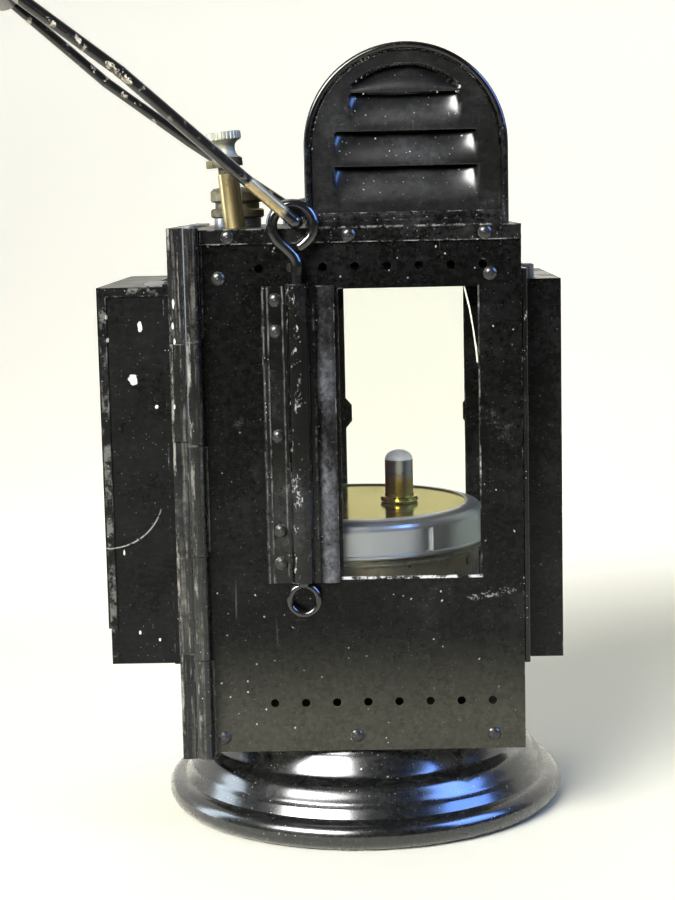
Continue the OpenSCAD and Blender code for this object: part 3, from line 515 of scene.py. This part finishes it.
def enamels():
    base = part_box("body_shell")[0].z
    return {
        "body": enamel("enamel_body", dust=0.25, wear=0.5, gloss=0.45, scuff=0.4, specks=1.0, seed=1,
                       marks=body_marks, flecks=0.16, settled=(base + 6 * MM, base + 42 * MM)),
        "foot": enamel("enamel_foot", dust=0.4, wear=0.4, gloss=1.0, scuff=0.25, specks=0.9, seed=2,
                       waves=2.0, satin=0.7, haze=0.08, flecks=0.3),
        "hood": enamel("enamel_hood", dust=0.5, wear=0.35, gloss=0.8, scuff=0.1, specks=0.8, seed=3),
        "louvre": enamel("enamel_louvre", dust=0.4, wear=0.3, gloss=0.8, specks=0.8, seed=9, satin=1.0,
                         dust_tone=(0.09, 0.095, 0.1)),
        "box": enamel("enamel_box", dust=1.0, wear=0.6, gloss=0.35, scuff=0.3, specks=0.6, seed=4,
                      marks=box_marks, haze=0.1),
        "rear": enamel("enamel_rear", dust=0.25, wear=0.5, gloss=0.5, scuff=0.2, specks=0.8, seed=10),
        "strap": enamel("enamel_strap", dust=0.8, wear=0.9, gloss=0.5, scuff=0.8, specks=1.0, seed=5,
                        edge_tone=(0.6, 0.6, 0.57)),
        "sheath": enamel("enamel_sheath", dust=0.4, wear=0.7, gloss=0.7, scuff=0.4, specks=0.8, seed=6,
                         marks=sheath_marks),
        "rivet": enamel("enamel_rivet", dust=0.9, wear=0.9, gloss=0.85, scuff=0.8, specks=0.8, seed=14,
                        satin=1.1, haze=0.2),
        "barrel": enamel("enamel_barrel", dust=0.5, wear=0.8, gloss=0.8, scuff=0.3, specks=0.6, seed=11,
                         marks=front_edge_marks, satin=0.3, haze=0.2),
        "pan": enamel("enamel_pan", dust=1.2, wear=0.7, gloss=0.5, scuff=0.4, specks=1.4, seed=12,
                      marks=front_edge_marks, dust_tone=(0.085, 0.09, 0.092), haze=0.25),
        "flange": enamel("enamel_flange", dust=0.3, wear=0.8, gloss=0.7, scuff=0.3, specks=0.8, seed=13,
                         marks=flange_marks),
        "inside": enamel("enamel_inside", dust=0.4, wear=0.3, gloss=0.3, specks=0.2, seed=8),
    }


def wires():
    """The bail is bare and brassy where it rubs in the near eye."""
    radius = 8.5 * MM
    near_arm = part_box("bail_wire")[0].y + 2 * MM
    point = (BAIL_PIVOT.x - 8.5 * MM, near_arm, BAIL_PIVOT.z + 7.5 * MM)
    return {
        "wire": worn_wire("wire_bail", seed=1, bare_at=(point, radius), wear=1.3),
        "rod": worn_wire("wire_rod", seed=2, wear=-0.3),
    }


def brasses():
    return {
        "brass": brass("brass_aged", tint=(0.5, 0.4, 0.2), seed=1),
        "brass_dull": brass("brass_dull", tint=(0.3, 0.27, 0.17), dark=(0.07, 0.065, 0.045),
                            tarnish=0.9, rough=0.42, seed=2),
        "brass_pale": brass("brass_pale", tint=(0.5, 0.49, 0.4), dark=(0.2, 0.19, 0.15),
                            tarnish=0.7, rough=0.45, seed=5),
    }


def plated():
    return {
        "nickel": plate_metal("nickel_dull", seed=1),
        # painted reflection: the lid's warm yellow tint is partly the plate's own colour and partly the reflected
        # cream backdrop, painted into the tint
        "lid_top": plate_metal("lid_bright", tint=(0.54, 0.48, 0.25), stain=(0.34, 0.28, 0.13),
                               rough=0.12, stains=0.35, seed=3, glance=(0.75, 0.71, 0.46)),
        "skirt": plate_metal("nickel_skirt", tint=(0.44, 0.46, 0.52), stain=(0.33, 0.32, 0.3),
                             rough=0.3, stains=0.4, seed=7, metal=0.85, fine=0.0),
        "tin": plate_metal("tin_worn", tint=(0.3, 0.3, 0.29), stain=(0.12, 0.1, 0.08), rough=0.42,
                           stains=0.9, seed=4),
        "tank": plate_metal("tin_tank", tint=(0.12, 0.12, 0.11), stain=(0.05, 0.04, 0.03), rough=0.5,
                            stains=0.9, seed=6),
    }


def burner_mats():
    """The burner: grey metal turned yellow-brown near its foot, on a yellow ring over a steel flange."""
    tube_lo, tube_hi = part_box("burner_body")
    third = (tube_hi.z - tube_lo.z) / 3
    base_lo, base_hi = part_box("burner_base")
    ledge = (base_lo.z + base_hi.z) / 2
    brown, steel = (0.42, 0.3, 0.07), (0.4, 0.39, 0.36)
    return {
        "nickel_grey": plate_metal("nickel_grey", tint=(0.4, 0.4, 0.42), stain=(0.25, 0.2, 0.12),
                                   rough=0.3, stains=0.7, seed=2,
                                   heat=(tube_lo.z + third, tube_hi.z - third, brown)),
        "burner_ring": plate_metal("burner_ring", tint=(0.62, 0.5, 0.1), stain=(0.4, 0.3, 0.08),
                                   rough=0.25, seed=8, heat=(ledge - 0.6 * MM, ledge, steel)),
    }


def glasses():
    window = (0.985, 0.99, 0.975)
    return {
        "clear": glass("glass_clear", window, seed=1),
        "clear_cracked": glass("glass_cracked", window, seed=1, cracked=True),
        "ruby": glass("glass_ruby", (0.2, 0.008, 0.006), seed=2),
        "frosted": glass("glass_frosted", (0.7, 0.74, 0.73), rough=0.25, dirt=1.6, seed=3),
    }


def all_materials():
    return {**enamels(), **wires(), **brasses(), **plated(), **burner_mats(), **glasses(),
            "ceramic": ceramic("ceramic_tip_painted_glow"), "wood": dark_wood("wood_grip")}


MATS = all_materials()


def look_of(node):
    """The material of a CAD node, by its record slot and its place on the lantern."""
    special = {
        "foot": "foot", "hood_vault": "hood", "hood_rims": "hood", "louvre_near": "louvre",
        "louvre_far": "louvre", "strap_near": "strap", "strap_far": "strap", "hood_apron": "strap",
        "rivets": "rivet", "sheath_near": "sheath", "sheath_far": "sheath", "hinge_body": "barrel",
        "door_leaves": "barrel", "door_pan": "pan", "front_box": "box", "front_bezel": "box",
        "front_seams": "box", "rear_box": "rear", "rear_flange": "flange", "rod_near": "rod",
        "rod_far": "rod", "bail_wire": "wire", "filler_cap": "brass_dull", "valve_collar": "brass_dull",
        "valve_knob": "brass_pale", "generator_pot": "brass", "generator_ring": "brass_dull",
        "burner_body": "nickel_grey", "burner_base": "burner_ring", "roof_plate": "inside",
        "filler_washer": "nickel_grey", "pane_near": "clear_cracked", "water_tank": "tank",
        "generator_lid": "skirt",
    }
    by_slot = {
        "japan": "body", "worn_steel": "tin", "worn_wire": "wire", "brass": "brass",
        "nickel": "nickel", "lid_bright": "lid_top", "clear_glass": "clear", "red_glass": "ruby",
        "frosted_glass": "frosted", "steatite": "ceramic", "grip_wood": "wood",
    }
    return MATS[special.get(node) or by_slot[SLOT_OF[node]]]


def dress_cad():
    """Every CAD node gets its material, and all but the glass a bevel modifier for softly rounded sheet edges."""
    for n, o in NODES.items():
        o.data.materials.clear()
        o.data.materials.append(look_of(n))
        if SLOT_OF[n].endswith("glass"):
            continue
        b = o.modifiers.new("soft_edges", "BEVEL")
        b.width = 0.22 * MM
        b.segments = 2
        b.limit_method = "ANGLE"
        b.angle_limit = math.radians(38)
        b.harden_normals = False


# ---------------------------------------------------------------- shapes
def add_piece(name, mesh, material, stands_for, slot="japan", smooth_below=35):
    """Links a mesh as a piece that stands for a CAD node and rides on that node's body."""
    mesh.materials.append(material)
    mesh.shade_smooth()
    mesh.set_sharp_from_angle(angle=math.radians(smooth_below))
    o = bpy.data.objects.new(name, mesh)
    bpy.context.scene.collection.objects.link(o)
    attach(o, BODY_OF[stands_for])
    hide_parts(stands_for)
    return o


def piece_from(bm, name, material, stands_for, **more):
    """Turns a finished bmesh into a piece."""
    mesh = bpy.data.meshes.new(name)
    bm.to_mesh(mesh)
    bm.free()
    return add_piece(name, mesh, material, stands_for, **more)


def lathe(name, node, outline, material, steps=288):
    """Spins a closed outline of (radius, height) points round the upright axis."""
    bm = bmesh.new()
    rings = []
    for i in range(steps):
        a = 2 * math.pi * i / steps
        rings.append([bm.verts.new((r * math.cos(a), r * math.sin(a), z)) for r, z in outline])
    for i in range(steps):
        here, there = rings[i], rings[(i + 1) % steps]
        for k in range(len(outline)):
            n = (k + 1) % len(outline)
            bm.faces.new((here[n], there[n], there[k], here[k]))
    bmesh.ops.recalc_face_normals(bm, faces=bm.faces)
    piece_from(bm, name, material, node)


def smooth_path(points, parts=6):
    """Catmull-Rom points through a list of corners."""
    out = []
    for i in range(len(points) - 1):
        p0, p1, p2 = points[max(i - 1, 0)], points[i], points[i + 1]
        p3 = points[min(i + 2, len(points) - 1)]
        for k in range(parts):
            t = k / parts
            out.append(0.5 * (2 * p1 + (p2 - p0) * t + (2 * p0 - 5 * p1 + 4 * p2 - p3) * t ** 2
                              + (3 * p1 - p0 - 3 * p2 + p3) * t ** 3))
    return out + [points[-1]]


def spun_foot():
    """The foot: cone under the body, shelf, rounded shoulder, second cone and a half-round rim bead."""
    lo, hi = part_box("foot")
    top, rim = hi.z, hi.x
    bead, wall = 4.7 * MM, 1 * MM
    neck = rim - 20.5 * MM
    lip, tuck = neck - 6 * MM, lo.z + 8 * MM
    # each corner: how far outside the neck, how far below the body
    corners = ((0, 0), (0.4, 1), (0.9, 2.2), (1.7, 4.2), (4.2, 8.9), (5.3, 9.8), (7.3, 10.3),
               (9.0, 10.7), (10.3, 11.7), (12.0, 14.3), (12.9, 15.6), (13.3, 16.6), (13.6, 17.4),
               (15.0, 20))
    skin = smooth_path([Vector((neck + r * MM, 0, top - d * MM)) for r, d in corners], 5)
    skin = [(p.x, p.z) for p in skin]
    turns = [math.radians(a) for a in range(86, -91, -4)]
    ring = [(rim - bead + bead * math.cos(a), lo.z + bead * (1 + math.sin(a))) for a in turns]
    inside = [(r - wall, z - wall) for r, z in reversed(skin)]
    outline = [(lip, top)] + skin + ring
    outline += [(rim - 2 * bead, lo.z), (rim - 2 * bead, tuck)]
    outline += inside + [(lip, top - wall)]
    lathe("foot_spun", "foot", outline, MATS["foot"])


def tube(bm, path, radius, closed=False, sides=28):
    """Adds a round wire along a path to bm; open ends get slightly rounded caps."""
    rings, normal = [], None
    for i, p in enumerate(path):
        ahead = path[(i + 1) % len(path)] if closed else path[min(i + 1, len(path) - 1)]
        behind = path[i - 1] if closed else path[max(i - 1, 0)]
        along = (ahead - behind).normalized()
        normal = along.orthogonal() if normal is None else normal - along * normal.dot(along)
        normal.normalize()
        across = along.cross(normal)
        rings.append([bm.verts.new(p + radius * (normal * math.cos(a) + across * math.sin(a)))
                      for a in (2 * math.pi * k / sides for k in range(sides))])
    for i in range(len(rings) - (0 if closed else 1)):
        here, there = rings[i], rings[(i + 1) % len(rings)]
        for k in range(sides):
            bm.faces.new((here[k], here[(k + 1) % sides], there[(k + 1) % sides], there[k]))
    if not closed:
        for ring, p, q in ((rings[0], path[0], path[1]), (rings[-1], path[-1], path[-2])):
            out = (p - q).normalized() * radius
            small = [bm.verts.new(p + out * 0.35 + (v.co - p) * 0.72) for v in ring]
            for k in range(sides):
                bm.faces.new((ring[k], ring[(k + 1) % sides], small[(k + 1) % sides], small[k]))
            bm.faces.new(small)


def eye_rod(node, name):
    """Wire bent into an open eye, with a double bend to its shank and a stop loop at the bottom."""
    lo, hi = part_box(node)
    y = (lo.y + hi.y) / 2
    wire, eye_r = 1.85 * MM, 6.6 * MM
    stop_wire, stop_r = 1.1 * MM, 4.7 * MM
    stop_z = lo.z + stop_r + stop_wire
    eye = Vector((BAIL_PIVOT.x - 0.8 * MM, y, BAIL_PIVOT.z - 0.8 * MM))
    turns = [math.radians(a) for a in range(-36, 205, 12)]
    # offsets from the eye's centre: the free end, then the bend down into the straight shank
    free_end = [Vector((u, 0, v)) * MM for u, v in ((1.9, -6.8), (3.5, -5.7))]
    arc = [Vector((math.cos(a), 0, math.sin(a))) * eye_r for a in turns]
    bend = [Vector((u, 0, v)) * MM for u, v in ((-4.7, -4.8), (-2.2, -7.2), (0.2, -9.8), (1.1, -12.4),
                                                (0.8, -15.5), (0.8, -18.5), (0.8, -60))]
    path = smooth_path([eye + p for p in free_end + arc + bend])
    path.append(Vector((BAIL_PIVOT.x, y, stop_z + stop_r)))
    stop = Vector((BAIL_PIVOT.x, y, stop_z))
    around = [2 * math.pi * k / 64 for k in range(64)]
    loop = [stop + Vector((math.cos(a), 0, math.sin(a))) * stop_r for a in around]
    bm = bmesh.new()
    tube(bm, path, wire)
    tube(bm, loop, stop_wire, closed=True)
    bmesh.ops.recalc_face_normals(bm, faces=bm.faces)
    piece_from(bm, name, MATS["rod"], node, slot=SLOT_OF[node], smooth_below=60)


def louvre_sheet(node, name):
    """Arched end plate with four louvres pressed smoothly inwards, each open along its top edge."""
    lo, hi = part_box(node)
    face, inward = (lo.y, 1) if lo.y < 0 else (hi.y, -1)
    xc, r, base = (lo.x + hi.x) / 2, (hi.x - lo.x) / 2, lo.z
    spring = hi.z - r
    cell, deep, gap, shoulder = 0.55 * MM, 3.6 * MM, 0.6 * MM, 11 * MM
    arc_r = 0.833 * r

    def level(height):
        return lambda x: base + height * MM

    def arc(x):
        return spring + math.sqrt(max(arc_r ** 2 - x ** 2, 0))

    # each louvre: height of its open top edge at x, bottom of the pressing, half its width
    louvres = [(level(18.3), base + 7 * MM, 22.6 * MM),
               (level(29.3), base + 19.5 * MM, 22.3 * MM),
               (level(41.3), base + 31.1 * MM, 17.3 * MM),
               (arc, base + 42.2 * MM, 17.2 * MM)]

    def pressed(x, z):
        """How far the sheet is pressed in at a point: deepest at each louvre's open edge."""
        for slit, bottom, half in louvres:
            if abs(x) < half and bottom < z <= slit(x) + 1e-7:
                side = max(0.0, (abs(x) - half + shoulder) / shoulder)
                rise = (z - bottom) / (slit(x) - bottom)
                return deep * math.sqrt(max(0.0, 1 - side ** 2.2)) * rise ** 1.7
        return 0.0

    cols = 2 * round(r / cell)
    rows = round((hi.z - base) / cell)
    bm = bmesh.new()
    grid, open_above = [], set()
    for i in range(cols + 1):
        x = -r + 2 * r * i / cols
        top = spring + math.sqrt(max(r * r - x * x, 0))
        heights = [base + (hi.z - base) * k / rows for k in range(rows + 1)]
        last = max(k for k, z in enumerate(heights) if z <= top + 1e-9)
        heights = heights[:last + 1]
        for slit, bottom, half in louvres:
            z = slit(x)
            if abs(x) < half and z + gap < top:
                k = max(k for k, h in enumerate(heights) if h <= z)
                heights[k] = z
                heights[k + 1] = z + gap
                open_above.add((i, k))
        grid.append([bm.verts.new((xc + x, face + inward * pressed(x, z), z)) for z in heights])
    for i in range(cols):
        for k in range(min(len(grid[i]), len(grid[i + 1])) - 1):
            if (i, k) in open_above and (i + 1, k) in open_above:
                continue
            quad = (grid[i][k], grid[i + 1][k], grid[i + 1][k + 1], grid[i][k + 1])
            bm.faces.new(quad if inward > 0 else quad[::-1])
    sheet = piece_from(bm, name, MATS["louvre"], node)
    thick = sheet.modifiers.new("thickness", "SOLIDIFY")
    thick.thickness = 0.7 * MM
    thick.offset = -1


# ---------------------------------------------------------------- camera and studio
def camera():
    """The viewpoint: eye level just above the roof, 0.66 m away, looking slightly down."""
    eye = Vector((7.5, -659.0, 210.7)) * MM
    yaw, pitch, roll = math.radians(-1.29), math.radians(7.65), math.radians(-1.28)
    ahead = Vector((math.sin(yaw) * math.cos(pitch), math.cos(yaw) * math.cos(pitch), -math.sin(pitch)))
    right = Vector((math.cos(yaw), -math.sin(yaw), 0))
    up = right.cross(ahead)
    right_rolled = right * math.cos(roll) + up * math.sin(roll)
    up_rolled = up * math.cos(roll) - right * math.sin(roll)
    data = bpy.data.cameras.new("camera")
    data.lens = 76
    data.sensor_width = 36
    cam = bpy.data.objects.new("camera", data)
    turn = Matrix((right_rolled, up_rolled, -ahead)).transposed()
    cam.matrix_world = Matrix.Translation(eye) @ turn.to_4x4()
    bpy.context.scene.collection.objects.link(cam)
    bpy.context.scene.camera = cam


def area(name, azimuth, elevation, away, size, power, color, spread=180, shine_only=False):
    """A soft box seen from the lantern in a direction given in degrees: azimuth 0 is towards the
    viewer and + is to the right. A small spread keeps its light off the floor in front; shine_only
    lights only reflections."""
    az, el = math.radians(azimuth), math.radians(elevation)
    aim = Vector((0, 0, 80 * MM))
    out = Vector((math.sin(az) * math.cos(el), -math.cos(az) * math.cos(el), math.sin(el)))
    data = bpy.data.lights.new(name, "AREA")
    data.shape = "RECTANGLE"
    data.size, data.size_y = size
    data.energy = power
    data.color = color
    data.spread = math.radians(spread)
    o = bpy.data.objects.new(name, data)
    o.location = aim + out * away
    o.rotation_mode = "QUATERNION"
    o.rotation_quaternion = (-out).to_track_quat("-Z", "Y")
    o.visible_diffuse = not shine_only
    bpy.context.scene.collection.objects.link(o)


def floor_material():
    """Cream paper; behind the object it glows a little, more so higher up the backdrop."""
    glow_low, glow_high, full_height = 0.34, 0.64, 0.35
    m = Mat("floor_cream")
    cloud = m.step(m.noise(3, 4), 0.3, 0.7)
    color = m.mix(cloud, (0.90, 0.885, 0.77), (0.92, 0.905, 0.79))
    behind = m.step(m.axis(1), 0.2, 0.5)
    glow = m.times(behind, m.span(m.axis(2), glow_low, glow_high, 0.0, full_height))
    grain = m.bump(m.noise(140, 3), 0.05, 0.0004)
    return m.surface(color, 0.9, 0.0, grain, **{"Emission Color": (1.0, 0.99, 0.95),
                                                "Emission Strength": glow, "Specular IOR Level": 0.1})


def floor_mesh():
    """A floor that curves up into a backdrop behind the object."""
    front, bend, radius, top, half_width, parts = -3.0, 0.6, 0.7, 4.0, 4.0, 24
    angles = [k / parts * math.pi / 2 for k in range(1, parts + 1)]
    outline = [(front, 0.0), (bend, 0.0)]
    outline += [(bend + radius * math.sin(a), radius * (1 - math.cos(a))) for a in angles]
    outline.append((bend + radius, top))
    bm = bmesh.new()
    rows = [[bm.verts.new((x, y, z)) for x in (-half_width, half_width)] for y, z in outline]
    for a, b in zip(rows, rows[1:]):
        bm.faces.new((a[0], a[1], b[1], b[0]))
    mesh = bpy.data.meshes.new("floor")
    bm.to_mesh(mesh)
    bm.free()
    mesh.shade_smooth()
    return mesh


def dim_room():
    """Sky light: cream and bright behind the object, dark on the viewer's side."""
    dark_below, bright_above, front_light, back_light = -0.25, 0.65, 0.05, 0.35
    world = bpy.data.worlds.new("world")
    bpy.context.scene.world = world
    world.use_nodes = True
    t = world.node_tree
    way = t.nodes.new("ShaderNodeSeparateXYZ")
    t.links.new(t.nodes.new("ShaderNodeTexCoord").outputs["Generated"], way.inputs[0])
    ramp = t.nodes.new("ShaderNodeMapRange")
    ramp.interpolation_type = "SMOOTHSTEP"
    t.links.new(way.outputs[1], ramp.inputs[0])
    for i, v in enumerate((dark_below, bright_above, front_light, back_light), start=1):
        ramp.inputs[i].default_value = v
    bg = t.nodes["Background"]
    bg.inputs[0].default_value = (1.0, 0.975, 0.88, 1)
    t.links.new(ramp.outputs[0], bg.inputs[1])


def studio():
    """Floor, room light, and soft boxes: white from the left, blue from a window on the right."""
    mesh = floor_mesh()
    mesh.materials.append(floor_material())
    floor = bpy.data.objects.new("floor", mesh)
    bpy.context.scene.collection.objects.link(floor)
    dim_room()
    area("key", -33, 32, 1.6, (1.1, 0.6), 5.8, (1.0, 0.995, 0.98), spread=56)
    area("window", 66, 40, 1.3, (0.75, 0.45), 0.42, (0.36, 0.56, 1.0), spread=60)
    area("top", -140, 75, 1.4, (1.0, 0.8), 1.5, (1.0, 0.98, 0.93), spread=110)
    area("key_shine", -34, 33, 1.6, (1.1, 0.6), 26, (1.0, 1.0, 0.98), shine_only=True)
    area("blue_shine", 70, 32, 1.3, (0.7, 0.7), 24, (0.16, 0.34, 1.0), shine_only=True)
    area("left_shine", -98, 12, 1.2, (0.35, 1.1), 9, (0.75, 0.88, 1.0), shine_only=True)
    bpy.context.scene.view_settings.view_transform = "Standard"


dress_cad()
spun_foot()
eye_rod("rod_near", "eye_rod_near")
eye_rod("rod_far", "eye_rod_far")
louvre_sheet("louvre_near", "louvre_sheet_near")
louvre_sheet("louvre_far", "louvre_sheet_far")
studio()
camera()
